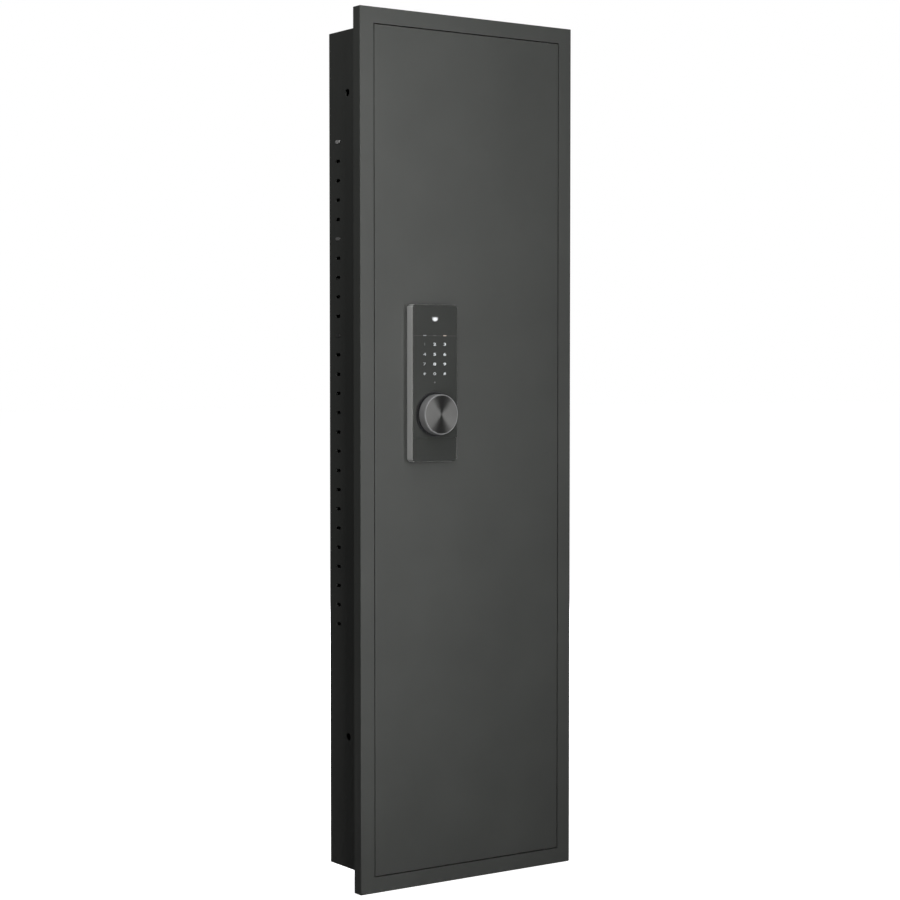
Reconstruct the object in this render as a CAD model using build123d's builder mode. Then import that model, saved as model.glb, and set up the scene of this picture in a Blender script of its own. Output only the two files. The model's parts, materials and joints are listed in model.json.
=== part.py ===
from build123d import *
import os
from math import atan, cos, pi, radians, sin, tan

os.makedirs("parts", exist_ok=True)

# A tall wall safe, set between the studs of a wall. Millimetres.
# X is to the right as seen from the room, Y goes into the wall and Z is up. The origin is the
# middle of the hole in the wall, in the plane of the wall's surface, so the room is at -Y.

# ------------------------------------------------------------------ driving dimensions
FLANGE_WIDTH = 340.5
FLANGE_HEIGHT = 1143.0
FLANGE_DEPTH = 16.0  # from the wall's surface to the front of the trim
FLANGE_LAP = 19.25  # how far the trim reaches past the box on each side
FLANGE_LIP = 8.0
RECESS_DEPTH = 90.0
SHEET = 1.5
END_STEP = 2.3  # the box is this much lower than the door's opening, at each end
END_STEP_FRONT = 1.5

SLOT_COUNT = 26
SLOT_PITCH = 25.4
SLOT_LENGTH = 11.0
SLOT_WIDTH = 4.5
SLOT_Y = 68.8
TOP_SLOT_Z = 406.7
STUD_HOLE_RADIUS = 5.0
STUD_HOLE_Y = 45.0
STUD_HOLE_SPACING = 844.4
STUD_HOLES_Z = 46.4

SHELF_SLOTS = {"shelf_upper": 0, "shelf_middle": 5, "shelf_lower": 10}
SHELF_SHEET = 1.2
SHELF_FRONT = 38.0

DOOR_GAP = 1.2
DOOR_SKIN = 2.5
DOOR_BACK = 0.5
LINER = 2.0
BASE_BACK = 2.0  # the back of the plate that the lock's inside stands on
HINGE_INSET = 20.0  # from the door's right edge to the hinge line
HINGE_DEPTH = 6.5  # from the door's front to the hinge line
PIN_RADIUS = 3.0
BUSH_RADIUS = 4.25

LOCK_X = -63.75
LOCK_Z = 90.25
LOCK_WIDTH = 70.5
LOCK_HEIGHT = 204.5
LOCK_CORNER = 5.0
LOCK_DEPTH = 14.0
LOCK_RIM = 0.7  # the metal left showing round the glass
GASKET = 1.0
GLASS_REBATE = 0.3
COVER_HEIGHT = 31.0

KNOB_Z = 49.6
KNOB_RADIUS = 26.2
KNOB_FRONT = -45.0
KNOB_BACK = -31.0
SPINDLE_RADIUS = 5.0

KEY_X = LOCK_X - 9.0
KEY_Z = 3.5
KEY_RADIUS = 6.0
PORT_X = LOCK_X + 20.0

GEAR_MODULE = 1.0
PINION_TEETH = 20
PRESSURE_ANGLE = radians(20)
BACKLASH = 0.3
GEAR_Y = (7.0, 13.0)

BOLT_RADIUS = 6.0
BOLT_Y = 10.0
BOLT_Z = (-405.0, -135.0, 135.0, 405.0)
BOLT_TIP = -129.75  # drawn; thrown, the bolts reach 15.7 mm further left
BAR_X = -103.0

RUNNING_GAP = 0.05  # radial, between a shaft and its hole
SEAT_GAP = 0.02  # radial, under a part that is clamped on its shaft or in its hole
SCREW_GAP = 0.1

# ------------------------------------------------------------------ worked out from them
FRONT = -FLANGE_DEPTH
PLATE_BACK = FRONT + SHEET  # the back of the trim's front plate
CASE_WIDTH = FLANGE_WIDTH - 2 * FLANGE_LAP
CASE_HEIGHT = FLANGE_HEIGHT - 2 * FLANGE_LAP
INNER_WIDTH = CASE_WIDTH - 2 * SHEET
INNER_HEIGHT = CASE_HEIGHT - 2 * SHEET
INNER_X = INNER_WIDTH / 2
INNER_Z = INNER_HEIGHT / 2
BOX_Z = INNER_Z - END_STEP  # inside the box
END_STEP_BACK = END_STEP_FRONT + SHEET
SWING_REACH = 17.0
SWING_DEPTH = 14.5
BACK_INNER = RECESS_DEPTH - SHEET
SLOTS_Z = TOP_SLOT_Z - (SLOT_COUNT - 1) * SLOT_PITCH / 2

DOOR_X = INNER_X - DOOR_GAP
DOOR_Z = INNER_Z - DOOR_GAP
HINGE_X = DOOR_X - HINGE_INSET
HINGE_Y = FRONT + HINGE_DEPTH
SKIN_BACK = FRONT + DOOR_SKIN
LINER_X = DOOR_X - DOOR_SKIN
LINER_Z = DOOR_Z - DOOR_SKIN
LINER_FRONT = DOOR_BACK - LINER

HOUSING_BACK = FRONT - GASKET
LOCK_FRONT = FRONT - LOCK_DEPTH
GLASS_FRONT = LOCK_FRONT + GLASS_REBATE
GLASS_BACK = LOCK_FRONT + 2.5
FLOOR_FRONT = HOUSING_BACK - 2.0
BOSS_FRONT = FLOOR_FRONT - 6.0
LOCK_TOP = LOCK_Z + LOCK_HEIGHT / 2
LOCK_BOTTOM = LOCK_Z - LOCK_HEIGHT / 2
COVER_TOP = LOCK_BOTTOM + COVER_HEIGHT
LOCK_SCREWS = [(LOCK_X + x, z) for x in (-26, 26) for z in (90, 178)]

PITCH_RADIUS = GEAR_MODULE * PINION_TEETH / 2
THROW = PITCH_RADIUS * pi / 2  # a quarter turn of the pinion
RACK_PITCH_Z = KNOB_Z - PITCH_RADIUS
RACK_BOTTOM = RACK_PITCH_Z - 7.6

# The inner lock case and what stands in it.
CASE_X = (-84.0, -16.0)
CASE_Z = (-30.0, 205.0)
CASE_Y = (BASE_BACK, 34.0)
CASE_SHEET = 1.2
CASE_MIDDLE = sum(CASE_X) / 2
CASE_SCREWS = [(x, z) for x in (-70, -30) for z in (CASE_Z[0] - 6, CASE_Z[1] + 6)]
BASE_X = (-96.0, -16.0)
BASE_Z = (CASE_Z[0] - 14, CASE_Z[1] + 14)
CABLE_Z = 132.0

SOLENOID_X = -44.0
SOLENOID_Z = (-10.0, 22.0)
PLUNGER_TOP = 31.2

BATTERY_RADIUS = 7.1
BATTERY_PITCH = 14.6
BATTERY_Y = 25.0
BATTERY_Z = (104.0, 154.0)

GUIDE_X = (-128.0, -125.0)
GUIDE_SCREWS = [(-114.0, z + dz) for z in BOLT_Z for dz in (-8, 8)]


# ------------------------------------------------------------------ helpers
def at_y(y):
    """An upright plane at depth y that faces the room, so extrude(amount=a) goes towards -Y."""
    return Plane.XZ.offset(-y)


def around(x, z):
    """A plane through an axis along Y: its own x is the radius and its own y is Y."""
    return Plane(origin=(x, 0, z), x_dir=(1, 0, 0), z_dir=(0, 0, 1))


def block(x, y, z, mode=Mode.ADD):
    """A block between the low and high value on each axis."""
    middle = tuple((low + high) / 2 for low, high in (x, y, z))
    with Locations(middle):
        Box(x[1] - x[0], y[1] - y[0], z[1] - z[0], mode=mode)


def rod(x, z, y, radius, mode=Mode.ADD):
    """A cylinder along Y."""
    with Locations(Location((x, (y[0] + y[1]) / 2, z), (90, 0, 0))):
        Cylinder(radius, y[1] - y[0], mode=mode)


def post(x, y, z, radius, mode=Mode.ADD):
    """A cylinder along Z."""
    with Locations((x, y, (z[0] + z[1]) / 2)):
        Cylinder(radius, z[1] - z[0], mode=mode)


def mirrored(pair, side):
    """The same stretch of Z or X on the positive side (1) or the negative side (-1)."""
    return pair if side > 0 else (-pair[1], -pair[0])


def write(builder, label):
    builder.part.label = label
    export_step(builder.part, f"parts/{label}.step")


# ------------------------------------------------------------------ the box in the wall
with BuildPart() as case_back:
    block((-INNER_X, INNER_X), (BACK_INNER, RECESS_DEPTH), (-BOX_Z - SHEET, BOX_Z + SHEET))
write(case_back, "case_back")

for side, label in ((-1, "case_left"), (1, "case_right")):
    with BuildPart() as case_side:
        with BuildSketch(Plane.YZ.offset(side * (INNER_X + SHEET / 2))):
            with Locations(((PLATE_BACK + END_STEP_BACK) / 2, 0)):
                Rectangle(END_STEP_BACK - PLATE_BACK, CASE_HEIGHT)
            with Locations(((END_STEP_BACK + RECESS_DEPTH) / 2, 0)):
                Rectangle(RECESS_DEPTH - END_STEP_BACK, 2 * (BOX_Z + SHEET))
            with Locations((SLOT_Y, SLOTS_Z)):
                with GridLocations(0, SLOT_PITCH, 1, SLOT_COUNT):
                    SlotOverall(SLOT_LENGTH, SLOT_WIDTH, mode=Mode.SUBTRACT)
            with Locations((STUD_HOLE_Y, STUD_HOLES_Z)):
                with GridLocations(0, STUD_HOLE_SPACING, 1, 2):
                    Circle(STUD_HOLE_RADIUS, mode=Mode.SUBTRACT)
        extrude(amount=SHEET / 2, both=True)
    write(case_side, label)

for side, label in ((1, "case_top"), (-1, "case_bottom")):
    with BuildPart() as case_end:
        block((-INNER_X, INNER_X), (END_STEP_FRONT, BACK_INNER), mirrored((BOX_Z, BOX_Z + SHEET), side))
        # the hinge edge of the door swings into this pocket, pressed out of the sheet
        block(
            (HINGE_X - SWING_REACH, INNER_X),
            (END_STEP_FRONT, SWING_DEPTH),
            mirrored((BOX_Z, BOX_Z + SHEET), side),
            mode=Mode.SUBTRACT,
        )
        block(
            (HINGE_X - SWING_REACH - SHEET, INNER_X + SHEET),
            (END_STEP_BACK, SWING_DEPTH + SHEET),
            mirrored((BOX_Z + SHEET, BOX_Z + 2 * SHEET), side),
        )
    write(case_end, label)

with BuildPart() as flange_frame:
    with BuildSketch(at_y(PLATE_BACK)):
        Rectangle(FLANGE_WIDTH, FLANGE_HEIGHT)
        Rectangle(INNER_WIDTH, INNER_HEIGHT, mode=Mode.SUBTRACT)
    extrude(amount=SHEET)
    with BuildSketch(at_y(0)):
        Rectangle(FLANGE_WIDTH, FLANGE_HEIGHT)
        Rectangle(FLANGE_WIDTH - 2 * SHEET, FLANGE_HEIGHT - 2 * SHEET, mode=Mode.SUBTRACT)
    extrude(amount=FLANGE_DEPTH)
    with BuildSketch(at_y(0)):
        Rectangle(FLANGE_WIDTH, FLANGE_HEIGHT)
        Rectangle(FLANGE_WIDTH - 2 * FLANGE_LIP, FLANGE_HEIGHT - 2 * FLANGE_LIP, mode=Mode.SUBTRACT)
    extrude(amount=SHEET)
    outer_corners = flange_frame.edges().filter_by(Axis.Y).sort_by(lambda e: abs(e.center().X))[-4:]
    fillet(outer_corners, radius=0.8)
    front_rim = flange_frame.faces().sort_by(Axis.Y)[0].outer_wire().edges()
    fillet(front_rim, radius=0.8)
    # the trim's folded return, above and below the door, which steps in to the box's end
    return_z = (INNER_Z, CASE_HEIGHT / 2)
    for side in (1, -1):
        block((-INNER_X, INNER_X), (PLATE_BACK, END_STEP_BACK), mirrored(return_z, side))
        block(
            (-INNER_X, INNER_X),
            (END_STEP_FRONT, END_STEP_BACK),
            mirrored((BOX_Z + SHEET, INNER_Z), side),
        )
        post(HINGE_X, HINGE_Y, mirrored(return_z, side), BUSH_RADIUS, mode=Mode.SUBTRACT)
write(flange_frame, "flange_frame")

# ------------------------------------------------------------------ stops behind the door
STOP_SHEET = 2.0
STOP_FRONT = 1.5
STOP_REACH = 14.0
STOP_DEPTH = 22.0
END_STOP_X = (-INNER_X + STOP_REACH, HINGE_X - 20)

with BuildPart() as lock_side_stop:
    block(
        (-INNER_X, -INNER_X + STOP_REACH),
        (STOP_FRONT, STOP_FRONT + STOP_SHEET),
        (-BOX_Z, BOX_Z),
    )
    block((-INNER_X, -INNER_X + STOP_SHEET), (STOP_FRONT, STOP_DEPTH), (-BOX_Z, BOX_Z))
write(lock_side_stop, "lock_side_stop")

with BuildPart() as end_stops:
    for side in (1, -1):
        block(
            END_STOP_X,
            (STOP_FRONT, STOP_FRONT + STOP_SHEET),
            mirrored((BOX_Z - STOP_REACH, BOX_Z), side),
        )
        block(END_STOP_X, (STOP_FRONT, STOP_DEPTH), mirrored((BOX_Z - STOP_SHEET, BOX_Z), side))
write(end_stops, "end_stops")

BUMPER_RADIUS = 5.0
BUMPER_HEIGHT = 0.8
with BuildPart() as door_bumpers:
    stop_middle = STOP_REACH / 2
    for x, z in (
        (-INNER_X + stop_middle, -470),
        (-INNER_X + stop_middle, -160),
        (-INNER_X + stop_middle, 160),
        (-INNER_X + stop_middle, 470),
        (0, BOX_Z - stop_middle),
        (0, -BOX_Z + stop_middle),
    ):
        rod(x, z, (STOP_FRONT - BUMPER_HEIGHT, STOP_FRONT), BUMPER_RADIUS)
    fillet(door_bumpers.faces().filter_by(lambda f: f.normal_at().Y < -0.9).edges(), radius=0.4)
write(door_bumpers, "door_bumpers")

# ------------------------------------------------------------------ shelves
BRACKET_SHEET = 1.5
BRACKET_Y = (40.0, 88.0)
LEDGE_REACH = 12.5
SHELF_DROP = 6.5  # a shelf's underside hangs this far below the middle of its slots
SHELF_X = INNER_X - BRACKET_SHEET - 0.2
TAB_GAP = 0.2  # all round a bracket's tab, in its slot
TAB_LENGTH = BRACKET_SHEET + SHEET + 0.6

for label, slot in SHELF_SLOTS.items():
    slot_z = TOP_SLOT_Z - slot * SLOT_PITCH
    with BuildPart() as shelf:
        with BuildSketch(Plane.YZ.offset(-SHELF_X)):
            with BuildLine():
                FilletPolyline(
                    (BACK_INNER - 0.2, slot_z - SHELF_DROP),
                    (SHELF_FRONT, slot_z - SHELF_DROP),
                    (SHELF_FRONT, slot_z + 4),
                    radius=2.0,
                )
                offset(amount=SHELF_SHEET, side=Side.RIGHT)
            make_face()
        extrude(amount=2 * SHELF_X)
    write(shelf, label)

with BuildPart() as shelf_brackets:
    for slot in SHELF_SLOTS.values():
        slot_z = TOP_SLOT_Z - slot * SLOT_PITCH
        ledge_top = slot_z - SHELF_DROP
        for side in (-1, 1):
            block(
                mirrored((INNER_X - BRACKET_SHEET, INNER_X), side),
                BRACKET_Y,
                (ledge_top - BRACKET_SHEET, slot_z + 5),
            )
            block(
                mirrored((INNER_X - LEDGE_REACH, INNER_X), side),
                BRACKET_Y,
                (ledge_top - BRACKET_SHEET, ledge_top),
            )
            with BuildSketch(Plane.YZ.offset(side * (INNER_X - BRACKET_SHEET))):
                with Locations((SLOT_Y, slot_z)):
                    SlotOverall(SLOT_LENGTH - 2 * TAB_GAP, SLOT_WIDTH - 2 * TAB_GAP)
            extrude(amount=side * TAB_LENGTH)
write(shelf_brackets, "shelf_brackets")

# ------------------------------------------------------------------ concealed hinges
PIVOT_BLOCK_TOP = CASE_HEIGHT / 2 + 9
BUSH_FLANGE_RADIUS = 5.5
PIN_Z = (DOOR_Z - 10, PIVOT_BLOCK_TOP - 1)

with BuildPart() as pivot_blocks:
    for side in (1, -1):
        block(
            (HINGE_X - 13, HINGE_X + 13),
            (PLATE_BACK, -3.5),
            mirrored((CASE_HEIGHT / 2, PIVOT_BLOCK_TOP), side),
        )
    post(HINGE_X, HINGE_Y, (-CASE_HEIGHT, CASE_HEIGHT), BUSH_RADIUS, mode=Mode.SUBTRACT)
write(pivot_blocks, "pivot_blocks")

with BuildPart() as pivot_bushes:
    for side in (1, -1):
        post(HINGE_X, HINGE_Y, mirrored((INNER_Z, PIVOT_BLOCK_TOP), side), BUSH_RADIUS)
        post(
            HINGE_X,
            HINGE_Y,
            mirrored((DOOR_Z + 2 * RUNNING_GAP, INNER_Z), side),
            BUSH_FLANGE_RADIUS,
        )
    post(
        HINGE_X,
        HINGE_Y,
        (-CASE_HEIGHT, CASE_HEIGHT),
        PIN_RADIUS + RUNNING_GAP,
        mode=Mode.SUBTRACT,
    )
write(pivot_bushes, "pivot_bushes")

with BuildPart() as pivot_pins:
    for side in (1, -1):
        post(HINGE_X, HINGE_Y, mirrored(PIN_Z, side), PIN_RADIUS)
    pin_ends = pivot_pins.faces().filter_by(Axis.Z).sort_by(lambda f: abs(f.center().Z))[-2:]
    chamfer(pin_ends.edges(), length=0.6)
write(pivot_pins, "pivot_pins")

with BuildPart() as pivot_plates:
    for side in (1, -1):
        block(
            (HINGE_X - 13, LINER_X),
            (SKIN_BACK, LINER_FRONT),
            mirrored((LINER_Z - 6, LINER_Z), side),
        )
    post(HINGE_X, HINGE_Y, (-CASE_HEIGHT, CASE_HEIGHT), PIN_RADIUS, mode=Mode.SUBTRACT)
write(pivot_plates, "pivot_plates")

# ------------------------------------------------------------------ the door
CABLE_SLOT = (16.0, 5.0)


def lock_openings(depth):
    """The holes that the lock needs through any sheet of the door, over the stretch of Y given."""
    rod(LOCK_X, KNOB_Z, depth, SPINDLE_RADIUS + 2 + SEAT_GAP, mode=Mode.SUBTRACT)
    rod(KEY_X, KEY_Z, depth, KEY_RADIUS + 2 + SEAT_GAP, mode=Mode.SUBTRACT)
    block(
        (LOCK_X - CABLE_SLOT[0] / 2, LOCK_X + CABLE_SLOT[0] / 2),
        depth,
        (CABLE_Z - CABLE_SLOT[1] / 2, CABLE_Z + CABLE_SLOT[1] / 2),
        mode=Mode.SUBTRACT,
    )
    for x, z in LOCK_SCREWS:
        rod(x, z, depth, 2 + SCREW_GAP, mode=Mode.SUBTRACT)


with BuildPart() as door_panel:
    block((-DOOR_X, DOOR_X), (FRONT, DOOR_BACK), (-DOOR_Z, DOOR_Z))
    block((-LINER_X, LINER_X), (SKIN_BACK, 2), (-LINER_Z, LINER_Z), mode=Mode.SUBTRACT)
    lock_openings((FRONT - 1, SKIN_BACK + 1))
    post(HINGE_X, HINGE_Y, (-CASE_HEIGHT, CASE_HEIGHT), PIN_RADIUS, mode=Mode.SUBTRACT)
    fillet(door_panel.edges().filter_by(Axis.Y).sort_by(lambda e: abs(e.center().X))[-4:], radius=0.6)
    fillet(door_panel.faces().sort_by(Axis.Y)[0].outer_wire().edges(), radius=0.6)
write(door_panel, "door_panel")

with BuildPart() as door_liner:
    block((-LINER_X, LINER_X), (LINER_FRONT, DOOR_BACK), (-LINER_Z, LINER_Z))
    lock_openings((LINER_FRONT - 1, DOOR_BACK + 1))
    for x, z in GUIDE_SCREWS + CASE_SCREWS:
        rod(x, z, (LINER_FRONT - 1, DOOR_BACK + 1), 2 + SCREW_GAP, mode=Mode.SUBTRACT)
write(door_liner, "door_liner")

STIFFENER_X = (20.0, 85.0)
STIFFENER_LENGTH = 960.0
with BuildPart() as door_stiffeners:
    depth = LINER_FRONT - SKIN_BACK
    with BuildSketch(Plane.XY.offset(-STIFFENER_LENGTH / 2)):
        for x in STIFFENER_X:
            with Locations((x, LINER_FRONT - SHELF_SHEET / 2)):
                Rectangle(44, SHELF_SHEET)
            with Locations((x, LINER_FRONT - depth / 2)):
                Rectangle(24, depth)
            with Locations((x, LINER_FRONT - (depth - SHELF_SHEET) / 2)):
                Rectangle(24 - 2 * SHELF_SHEET, depth - SHELF_SHEET, mode=Mode.SUBTRACT)
    extrude(amount=STIFFENER_LENGTH)
write(door_stiffeners, "door_stiffeners")

# ------------------------------------------------------------------ the lock's outside
POCKET_X = LOCK_WIDTH / 2 - LOCK_RIM
PLATE_X = POCKET_X - 0.15
CAVITY_X = 31.0
GROOVE_X = CAVITY_X + 1.2
GROOVE_Y = (GLASS_BACK + 1.0, GLASS_BACK + 2.4)

with BuildPart() as lock_gasket:
    with BuildSketch(at_y(FRONT)):
        with Locations((LOCK_X, LOCK_Z)):
            RectangleRounded(LOCK_WIDTH - 1.6, LOCK_HEIGHT - 1.6, LOCK_CORNER - 0.8)
            RectangleRounded(LOCK_WIDTH - 7, LOCK_HEIGHT - 7, 1.0, mode=Mode.SUBTRACT)
    extrude(amount=GASKET)
write(lock_gasket, "lock_gasket")

with BuildPart() as lock_housing:
    with BuildSketch(at_y(HOUSING_BACK)):
        with Locations((LOCK_X, LOCK_Z)):
            RectangleRounded(LOCK_WIDTH, LOCK_HEIGHT, LOCK_CORNER)
    extrude(amount=HOUSING_BACK - LOCK_FRONT)
    chamfer(lock_housing.faces().sort_by(Axis.Y)[0].edges(), length=0.6)
    # The rebate for the glass and the cover, open at the bottom for the cover to slide out.
    with BuildSketch(at_y(GLASS_BACK)):
        with Locations((LOCK_X, LOCK_Z)):
            RectangleRounded(2 * POCKET_X, LOCK_HEIGHT - 2 * LOCK_RIM, LOCK_CORNER - LOCK_RIM)
        with Locations((LOCK_X, LOCK_BOTTOM)):
            Rectangle(2 * POCKET_X, 2 * COVER_HEIGHT)
    extrude(amount=5, mode=Mode.SUBTRACT)
    # A groove on each side for the cover's hooks, and a way out for them at the bottom.
    for side in (-1, 1):
        groove = mirrored((CAVITY_X - 1, GROOVE_X), side)
        way_out = mirrored((CAVITY_X - 3, CAVITY_X), side)
        for x, y in ((groove, GROOVE_Y), (way_out, (GLASS_BACK - 1, GROOVE_Y[1]))):
            block(
                (LOCK_X + x[0], LOCK_X + x[1]),
                y,
                (LOCK_BOTTOM - 1, COVER_TOP - 2),
                mode=Mode.SUBTRACT,
            )
    # The space behind the glass, with four screw posts left standing.
    block(
        (LOCK_X - CAVITY_X, LOCK_X + CAVITY_X),
        (GLASS_BACK - 1, FLOOR_FRONT),
        (COVER_TOP + 0.5, LOCK_TOP - 4.5),
        mode=Mode.SUBTRACT,
    )
    for x, z in LOCK_SCREWS:
        rod(x, z, (BOSS_FRONT, FLOOR_FRONT), 4.2)
    # The space behind the cover, with pockets for the key cylinder and the power port.
    block(
        (LOCK_X - CAVITY_X, LOCK_X + CAVITY_X),
        (GLASS_BACK - 1, BOSS_FRONT),
        (LOCK_BOTTOM + 2.5, COVER_TOP - 2),
        mode=Mode.SUBTRACT,
    )
    block(
        (PORT_X - 6.2, PORT_X + 6.2),
        (BOSS_FRONT - 1, FLOOR_FRONT),
        (KEY_Z - 3.7, KEY_Z + 3.7),
        mode=Mode.SUBTRACT,
    )
    lock_openings((BOSS_FRONT - 2, HOUSING_BACK + 1))
write(lock_housing, "lock_housing")

ESCUTCHEON_RADIUS = 29.5
LAMP_Z = LOCK_TOP - 19.0
GUIDE_LINE_Z = LOCK_TOP - 40.5
GUIDE_LINE_HEIGHT = 0.9
GUIDE_LINE_DEPTH = 0.9
LAMP_WIDTH = 9.6
LAMP_HEIGHT = 6.0
LAMP_TOP_Z = LAMP_Z + LAMP_HEIGHT / 2


def lamp_outline(grow=0.0):
    """The lamp's outline: a flat top and a round bottom, in the current sketch."""
    half = LAMP_WIDTH / 2 + grow
    top = LAMP_TOP_Z + grow
    bottom = LAMP_TOP_Z - LAMP_HEIGHT - grow
    with BuildLine() as outline:
        Line((LOCK_X - half, top), (LOCK_X + half, top))
        Line((LOCK_X + half, top), (LOCK_X + half, top - 1.5))
        ThreePointArc((LOCK_X + half, top - 1.5), (LOCK_X, bottom), (LOCK_X - half, top - 1.5))
        Line((LOCK_X - half, top - 1.5), (LOCK_X - half, top))
    return outline.line


with BuildPart() as touch_panel:
    glass_top = LOCK_TOP - LOCK_RIM - 0.15
    glass_bottom = COVER_TOP + 0.2
    block(
        (LOCK_X - PLATE_X, LOCK_X + PLATE_X),
        (GLASS_FRONT, GLASS_BACK),
        (glass_bottom, glass_top),
    )
    fillet(touch_panel.edges().filter_by(Axis.Y).sort_by(Axis.Z)[-2:], radius=LOCK_CORNER - LOCK_RIM - 0.15)
    rod(LOCK_X, KNOB_Z, (LOCK_FRONT - 1, GLASS_BACK + 1), ESCUTCHEON_RADIUS + 0.1, mode=Mode.SUBTRACT)
    block(
        (LOCK_X - PLATE_X - 1, LOCK_X + PLATE_X + 1),
        (GLASS_FRONT - 1, GLASS_FRONT + GUIDE_LINE_DEPTH),
        (GUIDE_LINE_Z - GUIDE_LINE_HEIGHT / 2, GUIDE_LINE_Z + GUIDE_LINE_HEIGHT / 2),
        mode=Mode.SUBTRACT,
    )
    with BuildSketch(at_y(GLASS_BACK)):
        make_face(lamp_outline(grow=0.05).edges())
    extrude(amount=5, mode=Mode.SUBTRACT)
write(touch_panel, "touch_panel")

with BuildPart() as light_guide:
    block(
        (LOCK_X - PLATE_X, LOCK_X + PLATE_X),
        (GLASS_FRONT, GLASS_FRONT + GUIDE_LINE_DEPTH),
        (GUIDE_LINE_Z - GUIDE_LINE_HEIGHT / 2, GUIDE_LINE_Z + GUIDE_LINE_HEIGHT / 2),
    )
write(light_guide, "light_guide")

with BuildPart() as status_lamp:
    with BuildSketch(at_y(GLASS_BACK)):
        make_face(lamp_outline().edges())
    extrude(amount=GLASS_BACK - GLASS_FRONT + 0.3)
write(status_lamp, "status_lamp")

BOARD = 1.6
BOARD_Z = (84.0, 186.0)
with BuildPart() as keypad_board:
    block((LOCK_X - 30, LOCK_X + 30), (BOSS_FRONT - BOARD, BOSS_FRONT), BOARD_Z)
    block((LOCK_X - 6, LOCK_X + 6), (BOSS_FRONT, BOSS_FRONT + 1.5), (150, 162))
    block((LOCK_X - 8, LOCK_X + 8), (BOSS_FRONT, BOSS_FRONT + 3), (CABLE_Z - 3, CABLE_Z + 3))
    block((LOCK_X - 18, LOCK_X - 12), (BOSS_FRONT, BOSS_FRONT + 1.2), (104, 112))
write(keypad_board, "keypad_board")

CONTROL_Y = 5.0
with BuildPart() as keypad_cable:
    block((LOCK_X - 6, LOCK_X + 6), (BOSS_FRONT + 3, CONTROL_Y), (CABLE_Z - 0.5, CABLE_Z + 0.5))
write(keypad_cable, "keypad_cable")

with BuildPart() as knob_escutcheon:
    with BuildSketch(around(LOCK_X, KNOB_Z)):
        with BuildLine():
            Polyline(
                (SPINDLE_RADIUS + 0.5, LOCK_FRONT + 1.0),
                (ESCUTCHEON_RADIUS - 2.2, LOCK_FRONT + 1.0),
                (ESCUTCHEON_RADIUS - 1.0, LOCK_FRONT),
                (ESCUTCHEON_RADIUS, LOCK_FRONT),
                (ESCUTCHEON_RADIUS, FLOOR_FRONT),
                (ESCUTCHEON_RADIUS - 2.5, FLOOR_FRONT),
                (ESCUTCHEON_RADIUS - 2.5, LOCK_FRONT + 3.0),
                (SPINDLE_RADIUS + 0.5, LOCK_FRONT + 3.0),
                close=True,
            )
        make_face()
    revolve(axis=Axis((LOCK_X, 0, KNOB_Z), (0, 1, 0)))
write(knob_escutcheon, "knob_escutcheon")

KEY_BACK = 5.5
KEY_CAM_Y = (6.0, 8.5)
with BuildPart() as key_cylinder:
    rod(KEY_X, KEY_Z, (BOSS_FRONT - 1.5, KEY_BACK), KEY_RADIUS + 2)
    rod(KEY_X, KEY_Z, (BOSS_FRONT - 1.5, BOSS_FRONT), KEY_RADIUS + 3.5)
    rod(KEY_X, KEY_Z, (BOSS_FRONT - 2, KEY_BACK + 1), KEY_RADIUS + RUNNING_GAP, mode=Mode.SUBTRACT)
write(key_cylinder, "key_cylinder")

with BuildPart() as key_plug:
    rod(KEY_X, KEY_Z, (BOSS_FRONT - 1.3, KEY_BACK + 0.3), KEY_RADIUS)
    block((KEY_X - 3, KEY_X + 3), (KEY_BACK, KEY_CAM_Y[1] + 1.5), (KEY_Z - 3, KEY_Z + 3))
    block(
        (KEY_X - 0.9, KEY_X + 0.9),
        (BOSS_FRONT - 3, BOSS_FRONT + 22),
        (KEY_Z - 4.5, KEY_Z + 4),
        mode=Mode.SUBTRACT,
    )
write(key_plug, "key_plug")

CAM_REACH = 16.0
with BuildPart() as key_cam:
    with BuildSketch(at_y(KEY_CAM_Y[1])):
        with Locations((KEY_X, KEY_Z)):
            Circle(7)
        with Locations((KEY_X, KEY_Z - CAM_REACH + 4.5)):
            Circle(4.5)
        with Locations((KEY_X, KEY_Z - (CAM_REACH - 4.5) / 2)):
            Rectangle(9, CAM_REACH - 4.5)
        with Locations((KEY_X, KEY_Z)):
            Rectangle(6, 6, mode=Mode.SUBTRACT)
    extrude(amount=KEY_CAM_Y[1] - KEY_CAM_Y[0])
write(key_cam, "key_cam")

with BuildPart() as power_port:
    block((PORT_X - 6, PORT_X + 6), (BOSS_FRONT - 0.6, FLOOR_FRONT), (KEY_Z - 3.5, KEY_Z + 3.5))
    with BuildSketch(at_y(BOSS_FRONT - 0.6)):
        with Locations((PORT_X, KEY_Z)):
            SlotOverall(9.2, 3.4)
            SlotOverall(6.8, 1.0, mode=Mode.SUBTRACT)
    extrude(amount=-4.5, mode=Mode.SUBTRACT)
write(power_port, "power_port")

HOOK_Z = (COVER_TOP - 19, COVER_TOP - 3)
with BuildPart() as key_cover:
    cover_y = (GLASS_FRONT, GLASS_BACK - 0.2)
    block((LOCK_X - PLATE_X, LOCK_X + PLATE_X), cover_y, (LOCK_BOTTOM + 0.3, COVER_TOP - 0.3))
    bottom_corners = key_cover.edges().filter_by(Axis.Y).sort_by(Axis.Z)[:2]
    fillet(bottom_corners, radius=LOCK_CORNER - LOCK_RIM)
    chamfer(key_cover.faces().sort_by(Axis.Y)[0].edges().sort_by(Axis.Z)[:1], length=0.6)
    for side in (-1, 1):
        leg = mirrored((CAVITY_X - 2.6, CAVITY_X - 0.4), side)
        hook = mirrored((CAVITY_X - 2.6, GROOVE_X - 0.2), side)
        hook_y = (GROOVE_Y[0] + 0.2, GROOVE_Y[1] - 0.2)
        for x, y in ((leg, (cover_y[1], hook_y[1])), (hook, hook_y)):
            block((LOCK_X + x[0], LOCK_X + x[1]), y, HOOK_Z)
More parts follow.
